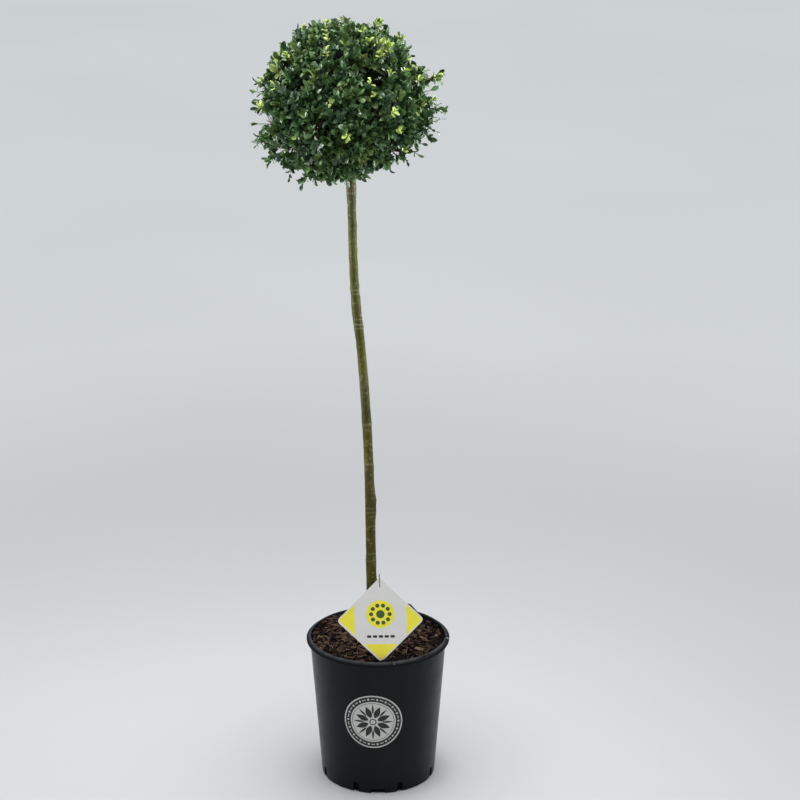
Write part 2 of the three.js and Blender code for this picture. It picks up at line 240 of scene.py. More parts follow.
class Nodes:
    """The nodes of a material or of the world."""

    def __init__(self, tree):
        self.tree = tree

    def set(self, socket, value):
        """Links a socket to an output, or gives it a number, a vector or a colour."""
        if isinstance(value, bpy.types.NodeSocket):
            self.tree.links.new(value, socket)
        else:
            socket.default_value = (*value, 1) if socket.type == "RGBA" else value

    def node(self, kind, operation=None, **sockets):
        """A new node, with what each of its sockets is set or linked to."""
        node = self.tree.nodes.new("ShaderNode" + kind)
        if operation:
            node.operation = operation
        for name, value in sockets.items():
            self.set(node.inputs[name], value)
        return node

    def ramp(self, factor, *stops):
        """Colours or grey levels by position: (place, value), with values as numbers or colours."""
        node = self.node("ValToRGB", Fac=factor)
        elements = node.color_ramp.elements
        while len(elements) < len(stops):
            elements.new(0.5)
        for element, (place, value) in zip(elements, stops):
            element.position = place
            element.color = (value,) * 3 + (1,) if isinstance(value, (int, float)) else (*value, 1)
        return node.outputs["Color"]


class Shader(Nodes):
    """A Principled material with helpers for its nodes."""

    def __init__(self, name, colour, roughness, specular=0.5):
        self.material = bpy.data.materials.new(name)
        self.material.use_nodes = True
        super().__init__(self.material.node_tree)
        self.inputs = self.tree.nodes["Principled BSDF"].inputs
        self.set(self.inputs["Base Color"], colour)
        self.set(self.inputs["Roughness"], roughness)
        self.set(self.inputs["Specular IOR Level"], specular)
        self.coordinates = self.node("TexCoord").outputs["Object"]

    def noise(self, scale, detail, stretch=(1, 1, 1)):
        """Noise of about scale features a metre, drawn out along an axis by stretch."""
        stretched = self.node("Mapping", Vector=self.coordinates, Scale=stretch).outputs["Vector"]
        return self.node("TexNoise", Vector=stretched, Scale=scale, Detail=detail).outputs["Fac"]

    def mottle(self, scale, detail, low, high):
        """Two colours or levels in soft patches, about scale of them a metre."""
        return self.ramp(self.noise(scale, detail), (0.3, low), (0.7, high))

    def height(self):
        """Height above the ground, in metres."""
        return self.node("SeparateXYZ", Vector=self.coordinates).outputs["Z"]

    def distance(self, reach):
        """Distance from the frame's origin, as a share of reach."""
        shrunk = self.node("VectorMath", "SCALE", Vector=self.coordinates, Scale=1 / reach)
        return self.node("VectorMath", "LENGTH", Vector=shrunk.outputs["Vector"]).outputs["Value"]

    def attribute(self, name):
        node = self.node("Attribute")
        node.attribute_name = name
        return node.outputs["Fac"]

    def mix(self, factor, first, second, blend="MIX"):
        node = self.node("Mix")
        node.data_type, node.blend_type = "RGBA", blend
        for socket, value in ((0, factor), (6, first), (7, second)):
            self.set(node.inputs[socket], value)
        return node.outputs[2]

    def multiply(self, first, second):
        return self.mix(1.0, first, second, "MULTIPLY")

    def colour(self, source):
        self.set(self.inputs["Base Color"], source)

    def roughness(self, source):
        self.set(self.inputs["Roughness"], source)

    def bump(self, scale, detail, depth, strength, stretch=(1, 1, 1)):
        """Noise as relief of a depth in mm, on top of any relief before it."""
        height = self.noise(scale, detail, stretch)
        node = self.node("Bump", Height=height, Distance=depth * MM, Strength=strength)
        normal = self.inputs["Normal"]
        if normal.links:
            self.set(node.inputs["Normal"], normal.links[0].from_socket)
        self.set(normal, node.outputs["Normal"])


def shaded(colour, factor):
    return tuple(min(1.0, channel * factor) for channel in colour)


def mottled_material(name, base, colours, patches, relief, roughness, specular=0.5):
    """Two colours in soft patches, of a scale and detail, with fine relief."""
    shader = Shader(name, base, roughness, specular)
    shader.colour(shader.mottle(*patches, *colours))
    shader.bump(*relief)
    return shader.material


def twig_material():
    colours = (0.045, 0.035, 0.022), (0.13, 0.105, 0.05)
    return mottled_material("twig_bark", (0.07, 0.05, 0.03), colours, (120, 4), (900, 4, 0.4, 0.5), 0.8)


def stick_material():
    colours = (0.13, 0.14, 0.08), (0.27, 0.28, 0.18)
    return mottled_material("stick", (0.2, 0.21, 0.13), colours, (300, 4), (900, 3, 0.3, 0.5), 0.6)


def print_material(name, colour, roughness=0.45):
    """Ink or film on plastic, with slight unevenness."""
    colours = shaded(colour, 0.98), shaded(colour, 1.01)
    return mottled_material(name, colour, colours, (60, 3), (500, 3, 0.02, 0.3), roughness)


def soil_material(name, dark, light):
    return mottled_material(name, dark, (dark, light), (220, 6), (1200, 5, 0.6, 0.8), 0.92, 0.06)


def leaf_material(name, colour, roughness):
    """A leaf's own colour, a little uneven, with the soft gloss of its skin."""
    shader = Shader(name, colour, roughness)
    shader.colour(shader.mottle(90, 4, shaded(colour, 0.72), shaded(colour, 1.28)))
    shader.roughness(shader.mottle(240, 4, roughness - 0.06, roughness + 0.08))
    shader.bump(700, 4, 0.4, 0.35)
    return shader.material


BARK_OLIVES = ((0.25, (0.052, 0.053, 0.009)), (0.5, (0.096, 0.096, 0.015)), (0.75, (0.160, 0.158, 0.030)))
BARK_BY_HEIGHT = (
    (0.25, (0.64, 0.52, 0.36)), (0.50, (0.82, 0.76, 0.60)),
    (0.75, (0.86, 0.90, 0.64)), (1.0, (0.76, 0.90, 1.75)),
)


def bark_material():
    """Olive bark: grey-green high up and brown low down, with lilac-grey streaks, pale pores and scars."""
    shader = Shader("bark", (0.08, 0.08, 0.025), 0.75, 0.2)
    olive = shader.ramp(shader.noise(70, 6, (1, 1, 0.3)), *BARK_OLIVES)
    skin = shader.multiply(olive, shader.ramp(shader.height(), *BARK_BY_HEIGHT))
    grey = shader.ramp(shader.noise(26, 4, STREAKED), (0.54, 0.0), (0.70, 0.5))
    skin = shader.mix(grey, skin, (0.105, 0.092, 0.078))
    brown = shader.mottle(300, 5, (0.06, 0.038, 0.022), (0.14, 0.095, 0.055))
    patches = shader.ramp(shader.noise(14, 3, (1, 1, 0.5)), (0.55, 0.0), (0.68, 0.6))
    skin = shader.mix(patches, skin, brown)
    skin = shader.mix(shader.attribute("crown_shade"), skin, brown)
    skin = shader.multiply(skin, shader.ramp(shader.noise(900, 3, STREAKED), (0.35, 0.62), (0.65, 1.2)))
    skin = shader.mix(shader.attribute("pale"), skin, (0.36, 0.34, 0.21))
    # the dark attribute: the knots' eyes and the brown patches, and painted shade under the scars
    skin = shader.mix(shader.attribute("dark"), skin, (0.022, 0.016, 0.010))
    shader.colour(skin)
    shader.roughness(shader.mottle(200, 4, 0.6, 0.85))
    shader.bump(1300, 4, 0.5, 0.6, (1, 1, 0.25))
    return shader.material


def pot_material():
    """Black moulded plastic: satin and faintly scuffed, with a dull lip and a paler crest, a painted
    highlight of the light from above.
    """
    black = (0.0019, 0.0027, 0.0041)
    shader = Shader("pot_plastic", black, 0.34, 0.17)
    scuffs = shader.ramp(shader.noise(30, 8, (1, 1, 0.35)), (0.45, 0.0), (0.75, 0.35))
    plastic = shader.mix(scuffs, black, (0.008, 0.009, 0.011))
    # painted highlight: the crest is made paler, as where it catches the light from above
    crest = shader.ramp(shader.height(), (0.2489, 0.0), (0.2497, 1.0))
    crest_highlight = shader.mottle(60, 6, (0.034, 0.037, 0.042), (0.085, 0.091, 0.100))
    shader.colour(shader.mix(crest, plastic, crest_highlight))
    lip = shader.ramp(shader.height(), (0.2418, 0.0), (0.2424, 1.0))
    shader.roughness(shader.mix(lip, shader.mottle(55, 6, 0.29, 0.40), (0.9, 0.9, 0.9)))
    shader.bump(14, 2, 1.6, 0.25)
    shader.bump(1500, 2, 0.05, 0.5)
    return shader.material


# ---------------- the head: how far it reaches

SHOOT_NODES = sorted(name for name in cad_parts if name.startswith("shoot_"))


def cad_points(node):
    return np.array([vertex.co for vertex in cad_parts[node].data.vertices], float)


def end_of(points, axis, sign, depth):
    """The middle of the points within a depth of the farthest one along an axis, up or down it."""
    along = points[:, axis] * sign
    return points[along > along.max() - depth].mean(0)


head_low, head_high = (np.array(corner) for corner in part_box("head"))
HEAD_CENTRE = (head_low + head_high) / 2
head_faces = [tuple(face.vertices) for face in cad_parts["head"].data.polygons]
head_surface = BVHTree.FromPolygons(cad_points("head"), head_faces)


def head_reach(directions):
    """How far the clipped ball reaches from its centre in each direction."""
    reaches = []
    for direction in directions:
        start = HEAD_CENTRE + 0.5 * direction
        hit = head_surface.ray_cast(Vector(start), Vector(-direction))[0]
        reaches.append(float(np.linalg.norm(np.array(hit) - HEAD_CENTRE)) if hit else 0.12)
    return np.array(reaches)


def beyond_head(direction, distance):
    """The point some mm outside the clipped ball in a direction."""
    return HEAD_CENTRE + direction * (head_reach([direction])[0] + distance * MM)


def spread_directions(count, jitter, rng):
    """Directions spread evenly all round, each moved at random by a share of their spacing."""
    number = np.arange(count) + 0.5
    up = 1 - 2 * number / count
    even = raised(circle(np.sqrt(1 - up**2), number * math.pi * (3 - math.sqrt(5))), up)
    spacing = math.sqrt(4 * math.pi / count)
    return unit(even + rng.normal(0, jitter * spacing, (count, 3)))


# ---------------- leaves

# Half the width of the blade, as a share of its length, at stations from its stalk to its blunt tip.
LEAF_STATIONS = np.array((0.0, 0.12, 0.34, 0.56, 0.78, 0.93))
LEAF_HALF_WIDTHS = np.array((0.02, 0.09, 0.185, 0.225, 0.20, 0.12))
# How far each kind of leaf folds its edges up and drops its tip.
LEAF_SHAPES = ((1.2, 0.10), (0.6, 0.26), (-0.4, 0.16), (1.5, -0.14), (0.3, 0.05), (0.9, 0.34))

# Tints are dealt out by spray: (name, share low on the head, share on its top, colour, roughness). The shift
# to lighter tints on the top is partly the top's paler olive growth and partly painted light from above.
LEAF_TINTS = (
    ("dark", 0.31, 0.12, (0.042, 0.098, 0.033), 0.32),
    ("deep", 0.30, 0.20, (0.077, 0.152, 0.052), 0.33),
    ("green", 0.21, 0.31, (0.127, 0.222, 0.078), 0.34),
    # the bluish tint is a painted sheen: the grey-blue gloss that leaves catch from the light
    ("bluish_sheen", 0.15, 0.19, (0.127, 0.203, 0.120), 0.30),
    ("olive", 0.03, 0.16, (0.190, 0.268, 0.088), 0.38),
    ("fresh", 0.00, 0.02, (0.290, 0.390, 0.100), 0.44),
    ("young", 0.00, 0.00, (0.400, 0.520, 0.115), 0.48),
)
YOUNG = ("fresh", "young")

LEAF_LENGTH = 15.8 * MM
YOUNG_LEAF_LENGTH = 10.5 * MM
YOUNG_BREADTH = 1.12
GOLDEN_TURN = math.radians(137.5)
LEAF_OPENING = (18, 60)  # degrees between a leaf and its twig, at the twig's tip and low on it
LIGHT_PULL = 0.12  # how far leaves turn their upper sides to the light
LEAF_UNREST = 0.28  # how far they turn at random
HOLLOW_LEAVES = 5


def leaf_template(fold, curl):
    """One leaf a unit long along Y, its upper side to +Z. fold lifts its edges and curl drops its tip."""
    vertices, faces = [], []
    for station, half in zip(LEAF_STATIONS, LEAF_HALF_WIDTHS):
        height = -curl * station**2
        edge = height + fold * half
        vertices += [(-half, station, edge), (0, station, height), (half, station, edge)]
    vertices.append((0, 1, -curl))
    tip = len(vertices) - 1
    for row in range(len(LEAF_STATIONS) - 1):
        for left in (3 * row, 3 * row + 1):
            faces += [(left, left + 1, left + 4), (left, left + 4, left + 3)]
    faces += [(tip - 3, tip - 2, tip), (tip - 2, tip - 1, tip)]
    return np.array(vertices), np.array(faces)


# ---------------- boughs and twigs

# The boughs, branches, side branches and twigs: how many there are, how far out they end as a share of the
# head's reach and how unevenly, their radius in mm at root and end, and about how many leaves each carries.
TIERS = (
    (11, 0.38, 0.08, (3.4, 2.3), 0),
    (60, 0.58, 0.08, (2.1, 1.4), 0),
    (330, 0.75, 0.07, (1.3, 0.9), 7),
    (1750, 0.876, 0.08, (0.8, 0.4), 11),
)
# Twigs end in clumps: how far the spaces between these fall back, and how fine the clumps are.
CLUMP_DEPTH, CLUMP_SCALE = 0.14, 4.6

# Hollows in the head: azimuth, elevation, width in degrees, and the share of twigs that is left.
HOLLOWS = aimed(
    (-67, 30, 11, 0.0), (0, 31, 9, 0.25), (180, -12, 8, 0.25), (-130, 21, 7, 0.0), (-108, -6, 5, 0.2),
    (-172, -22, 11, 0.45), (-158, -45, 10, 0.5), (100, -25, 8, 0.1), (60, 40, 7, 0.1), (35, -30, 9, 0.4),
)

# Where the head is clipped closer than its CAD shape, or grows out beyond it where the share is negative:
# azimuth, elevation, width in degrees, and share of its reach.
TRIMS = aimed(
    (-12, -44, 24, 0.06), (3, 8, 18, 0.035), (0, -2, 8, 0.08), (-22, -64, 20, 0.07), (-2, -10, 13, 0.09),
    (10, 35, 7, 0.13), (3, 15, 7, -0.06), (168, 44, 12, -0.04), (-176, -19, 12, -0.03), (120, 77, 20, 0.03),
    (-7, -29, 10, 0.08), (30, 62, 22, 0.02), (177, 15, 12, 0.03), (-168, -44, 14, 0.03),
)

# Gaps in the thin edge of the head, where one sees through it from the front: how far each one's axis lies
# to the right of the head's centre and above it, and its radius, in mm.
GAPS = MM * np.array((
    (-87, -74, 9.5), (-106, -74, 9), (-100, -58, 6), (-58, -92, 9), (-72, -106, 8), (-124, -28, 12),
    (47, 34, 7), (70, -76, 9), (122, 14, 11),
))
GAP_AXIS = unit(np.array(CAMERA_PLACE) - HEAD_CENTRE)
GAP_UP = unit(UP - (UP @ GAP_AXIS) * GAP_AXIS)

# Sprigs of new growth that stand out of the surface: azimuth and elevation.
YOUNG_SPRIGS = aimed(
    (-90, -10), (-145, 17), (-147, 37), (-170, 75), (-115, 58), (-110, 45), (-60, 68), (-65, 54),
    (-52, 29), (-35, 28), (-30, 20), (-72, 24), (-72, 15), (-60, 4), (-56, -9), (-162, 0),
)
# Smaller sprigs, not so bright.
FRESH_SPRIGS = aimed((-100, 11), (-126, -14), (-45, -24), (-130, 66), (-20, 5), (40, 65), (170, 12))
# Clusters of them: azimuth, elevation, how far they spread in degrees, and how many.
YOUNG_CLUSTERS = aimed((-46, 46, 7, 8), (60, 40, 50, 8), (150, 30, 40, 5))

# Thin twigs with a few small leaves that hang out of the outline: the azimuth and elevation of the tip, how
# far out it lies, and how far it droops, in mm.
WISPS = aimed(
    (-4, -3, 4, -6), (-8, -9, 2, -8), (-9, -17, 1, 2), (-14, -27, -2, 0), (-20, -42, 6, 4),
    (-32, -52, 6, 8), (-165, -50, 9, 10), (-158, -58, 12, 14), (-172, -24, 12, 0), (178, -14, 9, 3),
    (176, 12, 5, 0), (70, -35, 12, 6), (120, -40, 10, 6), (150, -10, 12, 0), (40, 0, 10, 0),
)
STRAY_TWIGS = 30
THIN = (0.7, 0.3)  # the radius of these twigs, in mm at root and tip


def in_gap(point):
    """Whether a point lies on the line of sight through one of the gaps."""
    offset = point - HEAD_CENTRE
    flat = offset - GAP_AXIS * (offset @ GAP_AXIS)
    return bool(np.any(np.hypot(GAPS[:, 0] - flat[0], GAPS[:, 1] - flat @ GAP_UP) < GAPS[:, 2]))


def trimmed(directions):
    """The share of the CAD head's reach that is left in each direction."""
    left = np.ones(len(directions))
    for middle, width, depth in TRIMS:
        left -= depth * np.exp(-((angle_between(directions, middle) / width) ** 2))
    return left


class Head:
    """Grows the head, and collects its wood, and its leaves by tint, until they are joined into pieces."""

    def __init__(self, seed, fork):
        self.rng = np.random.default_rng(seed)
        self.parents = [(fork, UP)]
        self.wood = Heap()
        self.places = {name: [] for name, *_ in LEAF_TINTS}
        self.axes = {name: [] for name, *_ in LEAF_TINTS}
        self.bare = []  # the side branches that lie open in the hollows

    def nearest_parent(self, place):
        """The end and the heading of the limb that ends nearest to a place."""
        ends = np.array([end for end, _ in self.parents])
        return self.parents[int(np.argmin(np.linalg.norm(ends - place, axis=1)))]

    def in_hollow(self, direction):
        near = [left for middle, width, left in HOLLOWS if angle_between(direction, middle) < width]
        return any(self.rng.random() > left for left in near)

    def shoot_heading(self, direction):
        """Which way a shoot points at its tip: outwards, and up as shoots do."""
        return unit(direction * 0.52 + UP * 0.74 + self.rng.normal(0, 0.26, 3))

    def pick_tint(self, direction):
        """A grown leaf's tint, lighter towards the top of the head: the top's paler olive growth, and painted
        light from above.
        """
        top = float(smooth_step(direction[2], 0.1, 0.95))
        shares = np.array([low * (1 - top) + high * top for _, low, high, *_ in LEAF_TINTS])
        return LEAF_TINTS[self.rng.choice(len(LEAF_TINTS), p=shares / shares.sum())][0]

    def twig(self, start, bend, end, steps, radii, sides=4):
        """Adds a bent twig with its radii in mm at root and tip, and returns its line."""
        line = bezier(start, bend, end, steps)
        root, tip = (radius * MM for radius in radii)
        self.wood.add(*tube(line, np.linspace(root, tip, steps), sides))
        return line

    def limb(self, end, radii):
        """A bough or branch from the nearest parent, which sets off as its parent points."""
        start, towards = self.nearest_parent(end)
        length = np.linalg.norm(end - start)
        bend = start + unit(towards + 0.5 * unit(end - start)) * length * 0.45
        return self.twig(start, bend + self.rng.normal(0, 0.07 * length, 3), end, 8, radii, sides=6)

    def shoot(self, end, direction, swing, steps, radii):
        """A twig from the nearest parent, which points outwards and up at its tip."""
        start, _ = self.nearest_parent(end)
        bend = end - self.shoot_heading(direction) * np.linalg.norm(end - start) * swing
        return self.twig(start, bend, end, steps, radii)

    def leaf(self, tint, place, along, upper, length):
        if in_gap(place + along * length * 0.5):
            return
        upper = unit(upper - (upper @ along) * along)
        across = np.cross(along, upper)
        width = length * self.rng.uniform(0.85, 1.25) * (YOUNG_BREADTH if tint in YOUNG else 1)
        self.places[tint].append(place)
        self.axes[tint].append((across * width, along * length, upper * length))

    def spray(self, line, tint, leaves, start, length=LEAF_LENGTH, opening=LEAF_OPENING, pull=LIGHT_PULL):
        """Leaves in a spiral round a twig's line, from start, a share of its length, to its tip."""
        tangents = unit(np.gradient(line, axis=0))
        turn = self.rng.uniform(0, FULL_TURN)
        for number, station in enumerate(np.linspace(start, 1, leaves) * (len(line) - 1)):
            low = min(int(station), len(line) - 2)
            share = station - low
            place = line[low] * (1 - share) + line[low + 1] * share
            tangent = unit(tangents[low] * (1 - share) + tangents[low + 1] * share)
            side, other = square_axes(tangent, np.array((0.2, 0.4, 0.9)))
            age = 1 - number / max(1, leaves - 1)
            open_ = math.radians(opening[0] + (opening[1] - opening[0]) * age + self.rng.uniform(-12, 12))
            outward = side * math.cos(turn) + other * math.sin(turn)
            along = unit(tangent * math.cos(open_) + outward * math.sin(open_))
            upper = tangent * math.sin(open_) - outward * math.cos(open_)
            light = unit(place - HEAD_CENTRE) * 0.5 + UP * 0.9
            upper = unit(upper + pull * light + self.rng.normal(0, LEAF_UNREST, 3))
            size = length * (0.74 + 0.26 * math.sin(math.pi * (0.2 + 0.65 * age)))
            self.leaf(tint, place, along, upper, size * self.rng.uniform(0.62, 1.2))
            turn += GOLDEN_TURN

    def grow_tier(self, ends, reach, spread, radii, leaves, last):
        """Grows a limb to each end of a tier from the nearest parent: these are the next tier's parents."""
        directions = spread_directions(ends, 0.42, self.rng)
        reaches = head_reach(directions) * trimmed(directions) * reach
        clumps = last * CLUMP_DEPTH * np.clip(lumps(directions, CLUMP_SCALE, 2), -1, 0.25)
        grown = []
        for direction, reach, clump in zip(directions, reaches, clumps):
            if last and self.in_hollow(direction):
                continue
            uneven = 1 + self.rng.uniform(-1, 1) * spread + clump
            end = HEAD_CENTRE + direction * reach * uneven
            line = self.shoot(end, direction, 0.6, 6, radii) if last else self.limb(end, radii)
            if leaves and not last and self.in_hollow(direction):
                self.bare.append(line)
            elif leaves:
                count = leaves + self.rng.integers(-2, 3)
                self.spray(line, self.pick_tint(direction), count, 0.3 if last else 0.5)
            grown.append((end, unit(line[-1] - line[-2])))
        if not last:
            self.parents = grown

    def young_sprigs(self):
        """The (direction, tint, size) of each sprig of new growth."""
        sprigs = [(direction, "young", 1.0) for (direction,) in YOUNG_SPRIGS]
        sprigs += [(direction, "fresh", 0.85) for (direction,) in FRESH_SPRIGS]
        for middle, spread, count in YOUNG_CLUSTERS:
            near = unit(middle + self.rng.normal(0, math.radians(spread) * 0.6, (count, 3)))
            sprigs += [(place, "young" if self.rng.random() < 0.7 else "fresh", 0.9) for place in near]
        return sprigs

    def grow_young_sprigs(self):
        for direction, tint, size in self.young_sprigs():
            line = self.shoot(beyond_head(direction, 1) + UP * 2 * MM, direction, 0.5, 7, (0.8, 0.4))
            length = YOUNG_LEAF_LENGTH * size * self.rng.uniform(0.9, 1.15)
            self.spray(line, tint, self.rng.integers(5, 8), 0.76, length, (20, 66), 0.15)

    def grow_long_shoots(self):
        """A thin shoot through each small CAD mass that stands out of the ball, with leaves to its tip."""
        for node in SHOOT_NODES:
            points = cad_points(node)
            tip = points[int(np.argmax(np.linalg.norm(points - HEAD_CENTRE, axis=1)))]
            direction = unit(tip - HEAD_CENTRE)
            start, towards = self.nearest_parent(tip - direction * 40 * MM)
            bend = (start + tip) / 2 + unit(towards) * 6 * MM - UP * 3 * MM
            line = self.twig(start, bend, tip - direction * 12 * MM, 9, (0.9, 0.35), sides=5)
            self.spray(line, self.pick_tint(direction), 10, 0.3, 0.8 * LEAF_LENGTH)
            sideways = unit(np.cross(direction, UP))
            for side in (-1, 1):
                rise = UP * self.rng.uniform(-6, 6) * MM
                twig_end = line[6] + side * 13 * MM * sideways + direction * 8 * MM + rise
                twig = self.twig(line[4], (line[5] + twig_end) / 2, twig_end, 5, (0.6, 0.35))
                self.spray(twig, self.pick_tint(direction), 5, 0.35, 0.75 * LEAF_LENGTH)
            if node in ("shoot_top", "shoot_right_high"):
                self.spray(line[-4:], "young", 9, 0.3, YOUNG_LEAF_LENGTH, (25, 70))

    def grow_stray_twigs(self):
        """Thin twigs with a few small leaves that stand out of the surface, more of them round the sides."""
        for direction in spread_directions(STRAY_TWIGS, 0.9, self.rng):
            direction = unit(direction * (1, 1, 0.75))
            end = beyond_head(direction, self.rng.uniform(-3, 6) - 8 * max(0, direction[2]))
            start, _ = self.nearest_parent(end)
            end += UP * self.rng.uniform(-8, 8) * MM
            bend = (start + end) / 2 + self.rng.normal(0, 5, 3) * MM
            line = self.twig(start, bend, end, 7, THIN)
            self.spray(line, self.pick_tint(direction), self.rng.integers(4, 8), 0.55, 0.75 * LEAF_LENGTH)

    def grow_wisps(self):
        for direction, beyond, droop in WISPS:
            end = beyond_head(direction, beyond)
            start, _ = self.nearest_parent(end - direction * 30 * MM)
            bend = (start + end) / 2 + UP * droop * MM + self.rng.normal(0, 2, 3) * MM
            line = self.twig(start, bend, end, 9, THIN)
            self.spray(line, self.pick_tint(direction), self.rng.integers(4, 7), 0.5, 0.7 * LEAF_LENGTH)

    def dress_hollows(self):
        """A few dark leaves on the branches at the bottom of the hollows, as painted shade in the hollows."""
        for line in self.bare:
            self.spray(line, "dark", HOLLOW_LEAVES, 0.35)

    def make_pieces(self):
        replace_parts(self.wood.piece("boughs_and_twigs", twig_material(), "twigs"), "head")
        templates = [leaf_template(*shape) for shape in LEAF_SHAPES]
        for name, _, _, colour, roughness in LEAF_TINTS:
            heap = Heap()
            shapes = self.rng.integers(len(templates), size=len(self.places[name]))
            places, axes = np.array(self.places[name]), np.array(self.axes[name])
            for number, template in enumerate(templates):
                heap.add_copies(template, places[shapes == number], axes[shapes == number])
            slot = "young_foliage" if name in YOUNG else "foliage"
            piece = heap.piece(f"leaves_{name}", leaf_material(f"leaf_{name}", colour, roughness), slot)
            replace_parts(piece, "head", *SHOOT_NODES)


def grow_head():
    head = Head(HEAD_SEED, end_of(cad_points("stem"), 2, 1, 2 * MM))
    for tier in TIERS:
        head.grow_tier(*tier, last=tier is TIERS[-1])
    head.grow_young_sprigs()
    head.grow_long_shoots()
    head.grow_stray_twigs()
    head.grow_wisps()
    head.dress_hollows()
    head.make_pieces()


# ---------------- the stem

STEM_SIDES = 60
STEM_RING_STEP = 1.5 * MM
PORE_COUNT = 330
RING_SCARS = 30
KNOTS = 11
# Scars of old side shoots on the front, knots on its right edge, and brown patches of bark: height in
# metres, azimuth in degrees.
FRONT_SCARS = ((0.623, -100), (0.625, -60), (0.851, -95), (0.845, -62), (0.794, -80), (0.787, -50))
EDGE_KNOTS = (
    (0.958, -8), (0.915, 4), (0.857, -4), (0.836, 8), (0.791, -6), (0.70, 5), (0.55, -10), (0.47, 0),
)
BROWN_PATCHES = ((0.642, -80), (0.478, -20))


def stem_shape():
    """The CAD stem's heights, its centre at each height, and its radius by height and angle."""
    points = cad_points("stem")
    heights = np.unique(np.round(points[:, 2], 5))
    heights = heights[np.concatenate(([True], np.diff(heights) > 2 * MM))]
    rings = [points[np.abs(points[:, 2] - height) < 0.5 * MM, :2] for height in heights]
    sides = int(np.median([len(ring) for ring in rings]))
    whole = [len(ring) == sides for ring in rings]
    rings = [ring for ring in rings if len(ring) == sides]
    rings = [ring[np.argsort(np.arctan2(*(ring - ring.mean(0)).T[::-1]))] for ring in rings]
    centres = np.array([ring.mean(0) for ring in rings])
    spokes = [ring - centre for ring, centre in zip(rings, centres)]
    angles = [np.arctan2(spoke[:, 1], spoke[:, 0]) for spoke in spokes]
    radii = [np.linalg.norm(spoke, axis=1) for spoke in spokes]
    return heights[whole], centres, angles, radii


STEM_HEIGHTS, STEM_CENTRES, STEM_ANGLES, STEM_RADII = stem_shape()


def stem_radius(levels, turns):
    """The CAD stem's radius on a grid of levels and angles."""
    by_ring = [np.interp(turns, *ring, period=FULL_TURN) for ring in zip(STEM_ANGLES, STEM_RADII)]
    return np.array([np.interp(levels, STEM_HEIGHTS, column) for column in np.array(by_ring).T]).T


def scattered(count, low, high, rng):
    """The height and angle of a number of marks round the stem."""
    return [(rng.uniform(low, high), rng.uniform(0, FULL_TURN)) for _ in range(count)]


def placed(rows):
    return [(height, math.radians(side)) for height, side in rows]


class Bark:
    """The stem's surface on a grid of levels and angles: its relief, and where it is pale and dark."""

    def __init__(self, levels, turns):
        self.level, self.turn = np.meshgrid(levels, turns, indexing="ij")
        self.radius = stem_radius(levels, turns)
        self.around = circle(1, self.turn)
        spots = raised(self.around * self.radius[..., None], self.level).reshape(-1, 3)
        grain = lumps(spots * (1, 1, 0.16), 420, 3).reshape(self.radius.shape)
        swell = lumps(spots, 55, 4).reshape(self.radius.shape)
        self.relief = 0.22 * MM * grain + 0.45 * MM * swell
        self.pale, self.dark = np.zeros_like(self.radius), np.zeros_like(self.radius)

    def dab(self, place, height, width):
        """A round spot, 1 at its middle, at a height and angle of the stem, with its size in mm."""
        aside = (self.turn - place[1] + math.pi) % FULL_TURN - math.pi
        up = (self.level - place[0]) / (height * MM)
        return np.exp(-(up**2) - (aside * self.radius / (width * MM)) ** 2)

    def mark(self, spot, relief=0.0, pale=0.0, dark=0.0):
        """Raises a spot by some mm, and makes it pale or dark."""
        self.relief += relief * MM * spot
        self.pale = np.maximum(self.pale, pale * spot)
        self.dark = np.maximum(self.dark, dark * spot)

    def add_marks(self, low, high, rng):
        """Pores, the scars of old shoots, knots and brown patches."""
        for _ in range(PORE_COUNT):
            place = (rng.uniform(low, high), rng.uniform(0, FULL_TURN))
            pore = self.dab(place, rng.uniform(0.7, 1.3), rng.uniform(0.8, 2.0))
            self.mark(pore, relief=0.35, pale=rng.uniform(0.25, 0.8))
        for place in scattered(RING_SCARS, low + 0.02, high - 0.05, rng) + placed(FRONT_SCARS):
            scar = self.dab(place, 0.9, rng.uniform(7, 22))
            self.mark(scar, relief=0.4, pale=rng.uniform(0.25, 0.7))
            # painted shade: a dark band just under each scar's raised ridge
            self.mark(self.dab((place[0] - 1.8 * MM, place[1]), 0.8, 12), dark=0.4)
        for place in scattered(KNOTS, low + 0.05, high - 0.08, rng) + placed(EDGE_KNOTS):
            knot, eye = self.dab(place, 4, 3.4), self.dab(place, 1.7, 1.5)
            self.mark(knot, relief=1.2)
            self.mark(eye, relief=-1.1, dark=0.75)
            self.mark(knot - eye, pale=0.35)
        for place in placed(BROWN_PATCHES):
            self.mark(self.dab(place, 15, 9), dark=0.5)


def make_stem():
    low, high = (corner.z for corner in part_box("stem"))
    levels = np.linspace(low, high, int((high - low) / STEM_RING_STEP))
    bark = Bark(levels, around(STEM_SIDES))
    bark.add_marks(low, high, np.random.default_rng(STEM_SEED))
    tip = smooth_step(bark.level, high - 6 * MM, high)
    radius = (bark.radius + bark.relief) * (1 - 0.15 * tip)
    centres = np.stack([np.interp(levels, STEM_HEIGHTS, STEM_CENTRES[:, axis]) for axis in (0, 1)], -1)
    vertices = raised(centres[:, None] + bark.around * radius[..., None], bark.level).reshape(-1, 3)
    stem = new_piece("stem_bark", vertices, closed_faces(len(levels), STEM_SIDES), bark_material(), "bark")
    crown_shade = 0.85 * smooth_step(bark.level, head_low[2] - 0.045, head_low[2] + 0.02)
    for name, values in (("pale", bark.pale), ("dark", bark.dark), ("crown_shade", crown_shade)):
        layer = stem.data.attributes.new(name, "FLOAT", "POINT")
        layer.data.foreach_set("value", values.astype(np.float32).ravel())
    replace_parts(stem, "stem")


# ---------------- the pot

